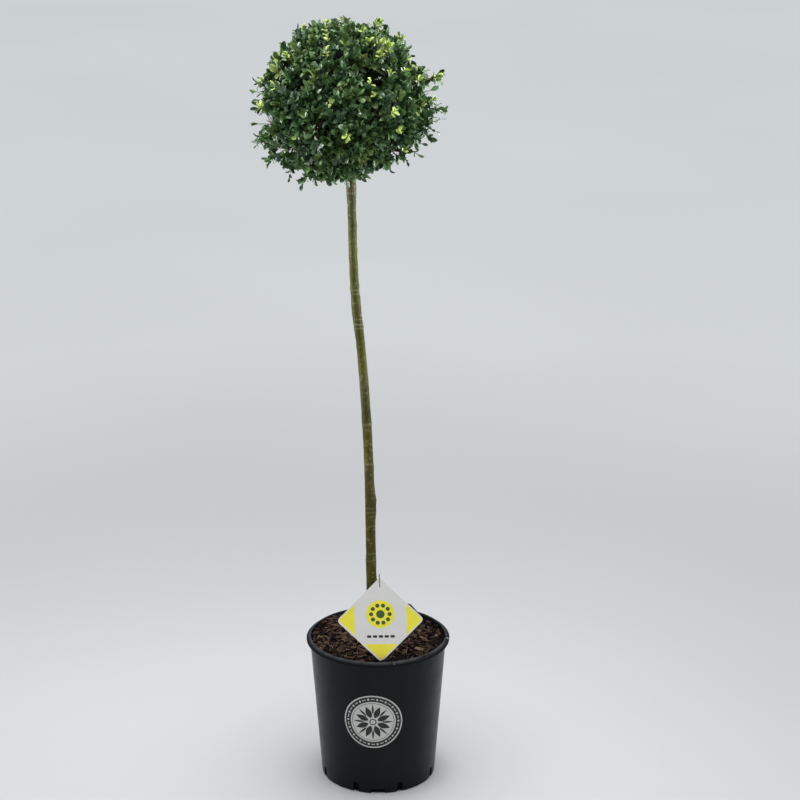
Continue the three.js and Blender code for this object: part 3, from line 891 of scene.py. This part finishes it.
POT_SEGMENTS = 288
POT_HEIGHT = 249.8 * MM
POT_RIM = 120 * MM
POT_CREST = 114.6 * MM
POT_FOOT = 95.6 * MM
POT_WALL = 1.8 * MM
POT_EDGE = math.radians(32)  # edges of the pot that turn by more than this stay crisp
# The lip slopes outwards and down from its crest to a shoulder, and its edge is turned down.
LIP_SHOULDER = 245.6 * MM
LIP_FOOT = 242 * MM
LIP_ROUNDING = 0.9 * MM
LIP_SLOPE = 52  # the way the sloping face looks, in degrees above the level
FLOOR_THICKNESS = 2.6 * MM
FOOT_ROUNDING = 3 * MM
# Drains through the foot: how many, the width and height of each, and the first one's share of a step.
DRAINS = ((8, 9.3 * MM, 18.5 * MM, 0.5), (4, 24.5 * MM, 8.5 * MM, 0.0))
DRAIN_DEPTH = 7 * MM
DRAIN_OVERRUN = 12 * MM
# The ear on the back of the rim: half its width at the foot and at the top, and how far it rises.
EAR_AZIMUTH = math.radians(70)
EAR_FOOT, EAR_TOP, EAR_RISE = 31 * MM, 18 * MM, 10.5 * MM
# The nick in the lip's sloping face leaves the turned-down edge outside it whole.
NICK_AZIMUTH = math.radians(-5)
NICK_INSIDE, NICK_OUTSIDE = POT_CREST - 3 * MM, POT_RIM - 1.4 * MM
NICK_WIDTH, NICK_DEPTH = 9 * MM, 6 * MM
BOX_CORNERS = np.array([(x, y, z) for x in (-0.5, 0.5) for y in (-0.5, 0.5) for z in (-0.5, 0.5)])
BOX_FACES = np.array(((0, 1, 3, 2), (4, 6, 7, 5), (0, 4, 5, 1), (2, 3, 7, 6), (0, 2, 6, 4), (1, 5, 7, 3)))


def wall_radius(height):
    return POT_FOOT + (POT_CREST - POT_FOOT) * height / POT_HEIGHT


def arc(centre, radius, first, last, steps=5):
    angles = np.radians(np.linspace(first, last, steps))
    return [(centre[0] + radius * math.cos(a), centre[1] + radius * math.sin(a)) for a in angles]


def pot_profile():
    """The pot's section as (radius, height), from the middle of its underside to the middle of its floor."""
    under_lip = POT_HEIGHT - 1.5 * POT_WALL
    skirt_inside = POT_RIM - POT_WALL
    shoulder = LIP_SHOULDER - LIP_ROUNDING
    wall = [(wall_radius(z), z) for z in np.linspace(FOOT_ROUNDING, under_lip - 2 * MM, 40)]
    inside = [(wall_radius(z) - POT_WALL, z) for z in np.linspace(POT_HEIGHT - 1.2 * MM, FLOOR_THICKNESS, 24)]
    return [
        (0, 0),
        (POT_FOOT * 0.6, 0),
        *arc((POT_FOOT - FOOT_ROUNDING, FOOT_ROUNDING), FOOT_ROUNDING, -90, 0),
        *wall,
        (wall_radius(under_lip) + 0.2 * MM, under_lip - 0.5 * MM),
        (skirt_inside - 0.3 * MM, shoulder + 0.2 * MM),
        (skirt_inside, shoulder - 0.3 * MM),
        *arc((POT_RIM - POT_WALL / 2, LIP_FOOT + POT_WALL / 2), POT_WALL / 2, -180, 0, 7),
        *arc((POT_RIM - LIP_ROUNDING, shoulder), LIP_ROUNDING, 0, LIP_SLOPE),
        *arc((POT_CREST - LIP_ROUNDING, POT_HEIGHT - LIP_ROUNDING), LIP_ROUNDING, LIP_SLOPE, 165, 8),
        *inside,
        (0, FLOOR_THICKNESS),
    ]


def lathe(profile, segments):
    """Turns a section whose first and last points lie on the axis."""
    rings = [raised(circle(radius, around(segments)), height) for radius, height in profile[1:-1]]
    vertices = np.concatenate(rings + [[(0, 0, profile[0][1]), (0, 0, profile[-1][1])]])
    first, last = len(vertices) - 2, len(vertices) - 1
    top = first - segments
    faces = ring_faces(len(rings), segments).tolist()
    for k in range(segments):
        following = (k + 1) % segments
        faces += [(first, following, k), (last, top + k, top + following)]
    return vertices, faces


def turned_box(size, middle, azimuth):
    """A box with its size and middle given for azimuth 0, turned about the pot's axis."""
    turn = np.array(Matrix.Rotation(azimuth, 3, "Z"))
    return (BOX_CORNERS * size + middle) @ turn.T, BOX_FACES


def drains_and_nick():
    """Blocks that cut the narrow slots, the wide notches and the nick in the lip."""
    heap = Heap()
    for count, width, height, first in DRAINS:
        size = (DRAIN_DEPTH + DRAIN_OVERRUN, width, height + DRAIN_OVERRUN)
        middle = (POT_FOOT - DRAIN_DEPTH + size[0] / 2, 0, (height - DRAIN_OVERRUN) / 2)
        for k in range(count):
            heap.add(*turned_box(size, middle, (k + first) * FULL_TURN / count - math.pi / 2))
    size = (NICK_OUTSIDE - NICK_INSIDE, NICK_WIDTH, 2 * NICK_DEPTH)
    heap.add(*turned_box(size, ((NICK_INSIDE + NICK_OUTSIDE) / 2, 0, POT_HEIGHT), NICK_AZIMUTH))
    return heap


def on_crest(u, v, lift):
    """A point of the ear: u along the rim, v above its crest, and lift out from the wall."""
    return (*circle(POT_CREST + lift, EAR_AZIMUTH + u / POT_CREST), POT_HEIGHT + v)


def ear():
    """The ear that stands on the back of the rim: a piece of the wall, narrower at its top."""
    grid = []
    for v in (-3 * MM, 0, EAR_RISE / 2, EAR_RISE):
        half = EAR_FOOT + (EAR_TOP - EAR_FOOT) * max(0, v) / EAR_RISE
        grid.append([(u, v) for u in np.linspace(-half, half, 25)])
    heap = Print(on_crest, 0.1 * MM - POT_WALL, -0.1 * MM)
    heap.add_slab(grid)
    return heap


def combine(piece, heap, operation):
    """Cuts the shapes of a heap out of a piece, or joins them to it, for good."""
    mesh = bpy.data.meshes.new("tool")
    vertices, faces = heap.arrays()
    mesh.from_pydata(vertices, [], faces)
    tool = new_object("tool", mesh)
    modifier = piece.modifiers.new("combine", "BOOLEAN")
    modifier.operation, modifier.solver, modifier.object = operation, "EXACT", tool
    done = bpy.data.meshes.new_from_object(piece.evaluated_get(bpy.context.evaluated_depsgraph_get()))
    piece.modifiers.clear()
    piece.data = done
    bpy.data.objects.remove(tool)


def make_pot():
    pot = new_piece("pot_shell", *lathe(pot_profile(), POT_SEGMENTS), pot_material(), "pot")
    combine(pot, ear(), "UNION")
    combine(pot, drains_and_nick(), "DIFFERENCE")
    pot.data.set_sharp_from_angle(angle=POT_EDGE)
    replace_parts(pot, "pot")
    mark = Print(on_mark, -0.2 * MM, 0.5 * MM)
    mark.add_ring(1.3 * MM, 2.3 * MM, columns=32)
    mark.piece("pot_mark", print_material("pot_mark", (0.05, 0.053, 0.058)), "pot")


# ---------------- the badge

BADGE_RADIUS = 49.5 * MM
BADGE_HEIGHT = 138 * MM
BADGE_TURN = math.radians(-4.2)
BORDER_MARKS = 18
PETALS = 8
MARK_TURN = math.radians(13.5)


def from_front(radius, turn, height):
    """A point at an angle from the front, to the right."""
    return radius * math.sin(turn), -radius * math.cos(turn), height


def on_wall(u, v, lift):
    """A point of the badge: u to the right, v up along the wall, and lift off it, in metres."""
    lean = math.atan2(POT_CREST - POT_FOOT, POT_HEIGHT)
    height = BADGE_HEIGHT + v * math.cos(lean)
    radius = wall_radius(height)
    turn = BADGE_TURN + u / radius
    return from_front(radius + lift * math.cos(lean), turn, height - lift * math.sin(lean))


def on_lip(turn, v, lift):
    """A point of the lip's sloping face: turn in radians from the front, v up the slope from its middle."""
    slope = math.radians(LIP_SLOPE)
    radius = (POT_CREST + POT_RIM) / 2 - 0.3 * MM - v * math.sin(slope) + lift * math.cos(slope)
    height = (POT_HEIGHT + LIP_SHOULDER) / 2 - 0.2 * MM + v * math.cos(slope) + lift * math.sin(slope)
    return from_front(radius, turn, height)


def on_mark(u, v, lift):
    """A point of the moulded mark on the lip."""
    return on_lip(MARK_TURN + u / POT_RIM, v, lift)


def petal_grid(root, tip, width, angle, rows=9):
    """A pointed petal from radius root to radius tip, at an angle about the centre."""
    out, side = circle(1, angle), circle(1, angle + math.pi / 2)
    grid = []
    for t in np.linspace(0.02, 0.98, rows):
        half = width / 2 * math.sin(math.pi * t**0.8)
        grid.append([(root + (tip - root) * t) * out + k * half * side for k in (-1, 0, 1)])
    return grid


def make_badge():
    """A round badge: a plain border of dots and dashes about a rosette."""
    pale = print_material("badge_pale", (0.56, 0.56, 0.535))
    ink = print_material("badge_ink", (0.007, 0.007, 0.008), 0.5)
    ground, band = Print(on_wall, -0.3 * MM, 0.22 * MM), Print(on_wall, 0.1 * MM, 0.32 * MM)
    marks, motif = Print(on_wall, 0.2 * MM, 0.4 * MM), Print(on_wall, 0.1 * MM, 0.34 * MM)
    r = BADGE_RADIUS
    ground.add_ring(0.8 * MM, r, 12)
    band.add_ring(0.77 * r, 0.955 * r, 4)
    step = FULL_TURN / BORDER_MARKS
    for angle in around(BORDER_MARKS):
        marks.add_ring(0.2 * MM, 0.036 * r, 3, 16, circle(0.862 * r, angle))
        marks.add_slab(ring_grid(0.85 * r, 0.875 * r, 2, 7, (0, 0), angle + 0.3 * step, angle + 0.7 * step))
    for angle in around(PETALS):
        motif.add_slab(petal_grid(0.16 * r, 0.62 * r, 0.2 * r, angle + math.pi / PETALS))
        motif.add_slab(petal_grid(0.3 * r, 0.68 * r, 0.07 * r, angle))
    motif.add_ring(0.085 * r, 0.12 * r, columns=40)
    motif.add_ring(0.70 * r, 0.715 * r, columns=96)
    for heap, name, film in ((ground, "ground", pale), (band, "band", ink), (marks, "marks", pale)):
        heap.print_piece(f"badge_{name}", film, "badge_print")
    motif.print_piece("badge_rosette", ink, "badge_print")


# ---------------- the potting mix

# Chips: name, how many, shortest and longest in mm, how slim, and their darkest and lightest colours.
CHIP_KINDS = (
    ("dark", 1700, (4.5, 14.0), 0.75, (0.003, 0.0024, 0.002), (0.016, 0.010, 0.009)),
    ("brown", 1150, (5.0, 15.0), 0.66, (0.021, 0.013, 0.011), (0.080, 0.047, 0.039)),
    ("reddish", 480, (5.0, 15.0), 0.55, (0.040, 0.020, 0.018), (0.120, 0.062, 0.054)),
    ("tan", 330, (4.0, 15.0), 0.30, (0.09, 0.058, 0.038), (0.27, 0.188, 0.125)),
)
CHIP_SHAPES = 6
CHIP_TILT = 0.42
STEM_ROOM = 12 * MM
FIBRES = 380
PIT_DEPTH = 3.2 * MM
BED_RINGS, BED_SIDES = 60, 160
# Crumbs on the lip: how many, how far round from the front and how spread in degrees, and their lift in mm.
CRUMBS = ((60, 43, 2.4, 0.1), (46, 85, 1.6, -2.8), (5, 79, 1.0, 0.6))


def pits(points):
    """From -1 in the pits between the clods to 1 on their tops."""
    return lumps(raised(points, 0), 105, 7)


def soil_level(points):
    """The height of the loose surface at points (x, y): uneven, and heaped at the front and the left."""
    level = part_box("potting_mix")[1].z - 2.2 * MM
    heaped = smooth_step(-0.85 * points[:, 0] - 0.5 * points[:, 1], -60 * MM, 30 * MM) * 5.2 * MM
    return level + heaped + 1.8 * MM * lumps(raised(points, 0), 26, 6) + PIT_DEPTH * pits(points)


def random_axes(count, rng, tilt):
    """Turned axes for chips that lie almost flat: rows are along, across and up."""
    turn = rng.uniform(0, FULL_TURN, count)
    lean = rng.normal(0, tilt, count)
    along = raised(circle(np.cos(lean), turn), np.sin(lean))
    up = unit(np.tile(UP, (count, 1)) + rng.normal(0, tilt, (count, 3)))
    across = unit(np.cross(up, along))
    return np.stack((along, across, np.cross(along, across)), 1)


def clod_template(rng):
    """A crumb of the mix: a round lump with uneven corners."""
    lump = bmesh.new()
    bmesh.ops.create_icosphere(lump, subdivisions=1, radius=0.56)
    lump.verts.index_update()
    corners = np.array([vertex.co for vertex in lump.verts])
    faces = np.array([[vertex.index for vertex in face.verts] for face in lump.faces])
    lump.free()
    return corners + rng.uniform(-0.13, 0.13, corners.shape), faces


def chip_template(rng):
    """A crumb of bark: a rough block with uneven corners."""
    return BOX_CORNERS + rng.uniform(-0.2, 0.2, BOX_CORNERS.shape), BOX_FACES


def scatter(count, inner, outer, rng):
    radius = np.sqrt(rng.uniform(inner**2, outer**2, count))
    return circle(radius, rng.uniform(0, FULL_TURN, count))


def make_bed(edge):
    """The mix under the loose chips, down to its underside."""
    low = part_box("potting_mix")[0].z
    turns = around(BED_SIDES)
    rings = [circle(edge * share, turns) for share in np.linspace(0.004, 1, BED_RINGS)]
    rings = [raised(ring, soil_level(ring) - 1.8 * MM) for ring in rings]
    rings.append(raised(circle(wall_radius(low) - POT_WALL - 0.3 * MM, turns), low))
    faces = [face[::-1] for face in closed_faces(len(rings), BED_SIDES)]
    material = soil_material("mix_bed", (0.003, 0.0025, 0.002), (0.009, 0.006, 0.005))
    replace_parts(new_piece("mix_bed", np.concatenate(rings), faces, material, "potting_mix"), "potting_mix")


def make_chips(edge, rng):
    """Loose chips and clods. The brighter kinds are fewer in the pits, at the very front and on the right, as
    painted shade.
    """
    for name, count, (shortest, longest), slim, dark, light in CHIP_KINDS:
        places = scatter(count, 0, edge, rng)
        places = places[np.linalg.norm(places - STEM_CENTRES[0], axis=1) > STEM_ROOM]
        if name != "dark":
            # painted shade: brighter chips thinned out towards the front and the right, and in the pits
            shade = 0.55 * smooth_step(-places[:, 1], 35 * MM, 90 * MM) + 0.2 * places[:, 0] / edge
            places = places[pits(places) > rng.uniform(-0.5, 0.25, len(places)) + shade]
        number = len(places)
        lengths = rng.triangular(shortest, shortest, longest, number) * MM
        room = (edge - lengths / 2) / np.linalg.norm(places, axis=1)
        places *= np.minimum(room, 1)[:, None]
        widths = lengths * slim * rng.uniform(0.6, 1.4, number)
        depths = widths * rng.uniform(0.35, 0.8, number)
        axes = random_axes(number, rng, CHIP_TILT) * np.stack((lengths, widths, depths), -1)[..., None]
        points = raised(places, soil_level(places) + rng.uniform(-3.6, 1.2, number) * MM)
        shapes = rng.integers(CHIP_SHAPES, size=number)
        square = name == "tan"
        heap = Heap()
        for k in range(CHIP_SHAPES):
            template = chip_template(rng) if square else clod_template(rng)
            heap.add_copies(template, points[shapes == k], axes[shapes == k])
        heap.piece(f"mix_{name}", soil_material(f"mix_{name}", dark, light), "potting_mix", not square)


def make_fibres(edge, rng):
    heap = Heap()
    for x, y in scatter(FIBRES, STEM_ROOM, edge - 10 * MM, rng):
        turn, length = rng.uniform(0, FULL_TURN), rng.uniform(7, 22) * MM
        half = np.array((math.cos(turn), math.sin(turn), 0)) * length / 2
        middle = np.array((x, y, soil_level(np.array([[x, y]]))[0] + 1.0 * MM))
        bend = middle + rng.normal(0, 0.22 * length, 3) * (1, 1, 0.3)
        lifts = rng.uniform(-0.8, 1.6, 2) * MM
        line = bezier(middle - half + UP * lifts[0], bend, middle + half + UP * lifts[1], 6)
        thick = rng.uniform(0.2, 0.5) * (1.8 if x < 0 else 1.0)
        heap.add(*tube(line, np.full(6, thick * MM), 4))
    material = soil_material("mix_fibres", (0.09, 0.055, 0.034), (0.27, 0.185, 0.115))
    heap.piece("mix_fibres", material, "potting_mix")


def make_crumbs(rng):
    """Crumbs of the mix that stick to the lip's sloping face and fill the nick in it."""
    heap = Heap()
    for count, middle, spread, lift in CRUMBS:
        turns = rng.normal(math.radians(middle), math.radians(spread), count)
        points = [on_lip(turn, rng.uniform(-2.6, 2.2) * MM, lift * MM) for turn in turns]
        sizes = rng.uniform((0.9, 0.7, 0.3), (3.2, 1.9, 0.8), (count, 3)) * MM
        heap.add_copies(chip_template(rng), points, random_axes(count, rng, 0.5) * sizes[..., None])
    material = soil_material("mix_crumbs", (0.022, 0.015, 0.016), (0.056, 0.038, 0.038))
    heap.piece("mix_crumbs", material, "potting_mix", smooth=False)


def make_soil():
    rng = np.random.default_rng(MIX_SEED)
    low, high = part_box("potting_mix")
    edge = (high.x - low.x) / 2
    make_bed(edge)
    make_chips(edge, rng)
    make_fibres(edge, rng)
    make_crumbs(rng)


# ---------------- the label

CARD_HALF = 101.4 * MM / math.sqrt(2)
CARD_THICKNESS = 0.8 * MM
CARD_MARGIN = 3 * MM
# The yellow corners: from and to what share of the card's reach, and whether they lie at its sides.
CARD_FIELDS = ((-0.97, -0.60, False), (0.62, 0.97, True), (-0.97, -0.62, True))
CARD_DOTS = 10
CARD_DASHES = 5


def card_frame():
    """The card's middle, and its unit vectors to the right, up along the card, and to the front."""
    points = cad_points("label_card")
    left, right, bottom, top = (end_of(points, axis, sign, 3 * MM) for axis in (0, 2) for sign in (-1, 1))
    across, up = unit(right - left), unit(top - bottom)
    return (left + right) / 2, across, up, unit(np.cross(across, up))


def diamond_grid(reach, low, high, turned):
    """The part of a square on its corner between two heights, or between two widths if turned."""
    grid = []
    for v in np.linspace(low, high, 4) * reach:
        half = 0.985 * (reach - abs(v))
        grid.append([(v, -u) if turned else (u, v) for u in np.linspace(-half, half, 9)])
    return grid


def make_label():
    """The card with its print (yellow corners, a disc ringed with dots, a row of dashes) and its stick."""
    middle, right, up, front = card_frame()

    def on_card(u, v, lift):
        return middle + right * u + up * v + front * (CARD_THICKNESS / 2 + lift)

    dress_node("label_card", print_material("card_white", (0.79, 0.785, 0.76), 0.35))
    dress_node("label_stick", stick_material())
    reach = CARD_HALF - CARD_MARGIN
    fields, dashes = (Print(on_card, 0.02 * MM, 0.09 * MM) for _ in range(2))
    dots = Print(on_card, 0.07 * MM, 0.15 * MM)
    for low, high, turned in CARD_FIELDS:
        fields.add_slab(diamond_grid(reach, low, high, turned))
    centre = np.array((0, 0.14 * reach))
    fields.add_ring(0.4 * MM, 0.34 * reach, 5, 64, centre)
    for angle in around(CARD_DOTS):
        dots.add_ring(0.2 * MM, 0.05 * reach, 3, 16, centre + circle(0.22 * reach, angle))
    dots.add_ring(0.2 * MM, 0.1 * reach, 3, 24, centre)
    for left in (-0.33 + 0.14 * np.arange(CARD_DASHES)) * reach:
        dashes.add_slab([[(left, v * reach), (left + 0.1 * reach, v * reach)] for v in (-0.44, -0.38)])
    fields.print_piece("card_fields", print_material("card_yellow", (0.96, 0.86, 0.055), 0.35), "label_card")
    dots.print_piece("card_dots", print_material("card_green", (0.05, 0.10, 0.02), 0.4), "label_card")
    dashes.print_piece("card_dashes", print_material("card_ink", (0.012, 0.012, 0.013), 0.4), "label_card")


def dress_node(node, material):
    """Gives a CAD node that stays its material."""
    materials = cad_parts[node].data.materials
    materials.clear()
    materials.append(material)


# ---------------- studio

CAMERA_PITCH = math.radians(90 - 18.76)
CAMERA_LENS = 109.3
CAMERA_SENSOR = 36.0
# The floor's colour at shares of FLOOR_PAINT from the plant: painted shade, darker close round the plant and
# a little darker far off.
FLOOR_COLOURS = ((0.05, (0.575, 0.585, 0.595)), (0.25, (0.705, 0.730, 0.745)), (0.6, (0.670, 0.703, 0.717)))
FLOOR_PAINT = 10
FLOOR_REACH = 40
# The sky's colour by height: most of its light comes from overhead, as from a white ceiling.
SKY_COLOURS = ((0.0, (0.13, 0.135, 0.14)), (0.8, (1.02, 1.03, 1.04)))
SKY_STRENGTH = 0.80
SUN_FROM = (-0.1, -0.4, 1.5)
SUN_ANGLE = 80
SUN_STRENGTH = 0.80
# Softboxes round the head, which stands closer to the studio's lights than the pot: place and energy.
SOFTBOXES = (((-1.3, 0.1, 1.1), 5.1), ((1.3, 0.1, 1.1), 5.6), ((0.0, 0.1, 2.7), 3.6))
SOFTBOX_SIZE = 1.1
SOFTBOX_BEAM = math.radians(50)


def make_camera():
    data = bpy.data.cameras.new("camera")
    data.lens = CAMERA_LENS
    data.sensor_width = CAMERA_SENSOR
    camera = new_object("camera", data)
    camera.location = CAMERA_PLACE
    camera.rotation_euler = (CAMERA_PITCH, 0, 0)
    bpy.context.scene.camera = camera


def make_floor():
    vertices = [(x * FLOOR_REACH, y * FLOOR_REACH, 0) for x, y in ((-1, -1), (1, -1), (1, 1), (-1, 1))]
    shader = Shader("studio", FLOOR_COLOURS[0][1], 0.95, 0.1)
    # painted shade across the floor, by distance from the plant
    painted_shade = shader.ramp(shader.distance(FLOOR_PAINT), *FLOOR_COLOURS)
    shader.colour(shader.multiply(painted_shade, shader.mottle(0.6, 2, 0.97, 1.03)))
    new_piece("studio_floor", vertices, [(0, 1, 2, 3)], shader.material)


def make_sky():
    world = bpy.data.worlds.new("studio_light")
    world.use_nodes = True
    nodes = Nodes(world.node_tree)
    direction = nodes.node("TexCoord").outputs["Generated"]
    height = nodes.node("SeparateXYZ", Vector=direction).outputs["Z"]
    background = world.node_tree.nodes["Background"].inputs
    nodes.set(background["Color"], nodes.ramp(height, *SKY_COLOURS))
    nodes.set(background["Strength"], SKY_STRENGTH)
    bpy.context.scene.world = world


def add_lamp(name, kind, place, target, energy, **settings):
    data = bpy.data.lights.new(name, kind)
    data.energy = energy
    for setting, value in settings.items():
        setattr(data, setting, value)
    lamp = new_object(name, data)
    lamp.location = place
    lamp.rotation_euler = Vector(np.array(target) - np.array(place)).to_track_quat("-Z", "Y").to_euler()


def make_studio():
    make_floor()
    make_sky()
    add_lamp("key", "SUN", SUN_FROM, (0, 0, 0), SUN_STRENGTH, angle=math.radians(SUN_ANGLE))
    for place, energy in SOFTBOXES:
        shape = {"shape": "DISK", "size": SOFTBOX_SIZE, "spread": SOFTBOX_BEAM}
        add_lamp("softbox", "AREA", place, HEAD_CENTRE, energy, **shape)
    bpy.context.scene.view_settings.view_transform = "Standard"


# ---------------- everything

make_camera()
make_studio()
make_pot()
make_badge()
make_soil()
make_label()
make_stem()
grow_head()
